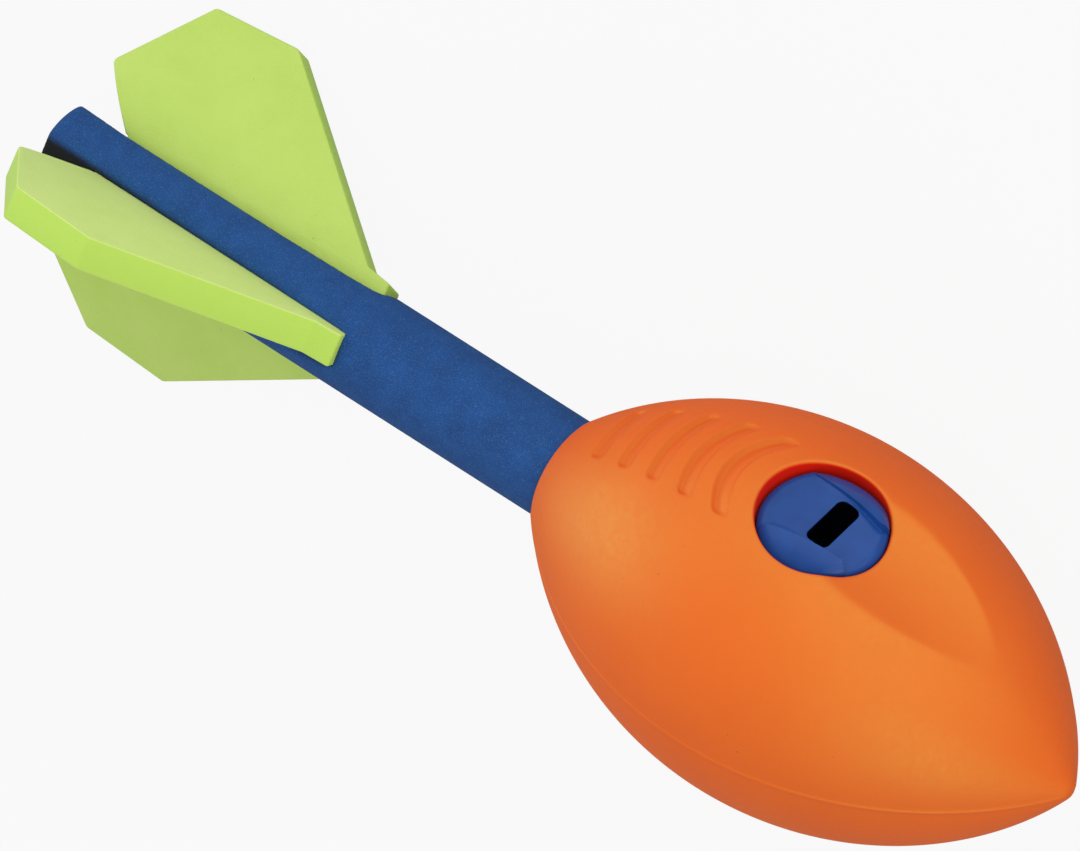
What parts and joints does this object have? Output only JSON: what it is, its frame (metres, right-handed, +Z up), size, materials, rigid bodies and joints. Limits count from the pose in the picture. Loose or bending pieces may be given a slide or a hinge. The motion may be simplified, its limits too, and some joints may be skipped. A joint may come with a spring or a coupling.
{
  "type": "whistling foam throwing toy",
  "caption": "Football shaped foam head with two whistles sunk in its sides, on a foam tube tail that carries three foam fins.",
  "frame": {"origin": "on the floor under the middle of the toy's bounding box, as it lies on its head and the tips of its two lower fins", "axes": "+X runs from the tail to the nose, level with the floor, so the toy's own axis climbs 5 degrees towards the nose; +Z is up, with the third fin on top; +Y is to the left of a thrower behind the tail"},
  "size_m": [0.3212, 0.0964, 0.0968],
  "materials": {
    "head_foam": "orange self-skinned moulded foam, satin, smooth",
    "tail_foam": "fine-celled extruded foam, matt, blue outside and black where it is cut",
    "fin_foam": "yellow-green cut foam sheet, matt",
    "whistle_plastic": "blue moulded plastic, glossy",
    "core_plastic": "black extruded plastic tube"
  },
  "bodies": {
    "root": {"head_foam": "head_foam", "tail_tube": "tail_foam", "tail_core": "core_plastic", "fin_top": "fin_foam", "fin_left": "fin_foam", "fin_right": "fin_foam", "upper_whistle_cap": "whistle_plastic", "upper_whistle_cup": "whistle_plastic", "lower_whistle_cap": "whistle_plastic", "lower_whistle_cup": "whistle_plastic"}
  },
  "joints": []
}
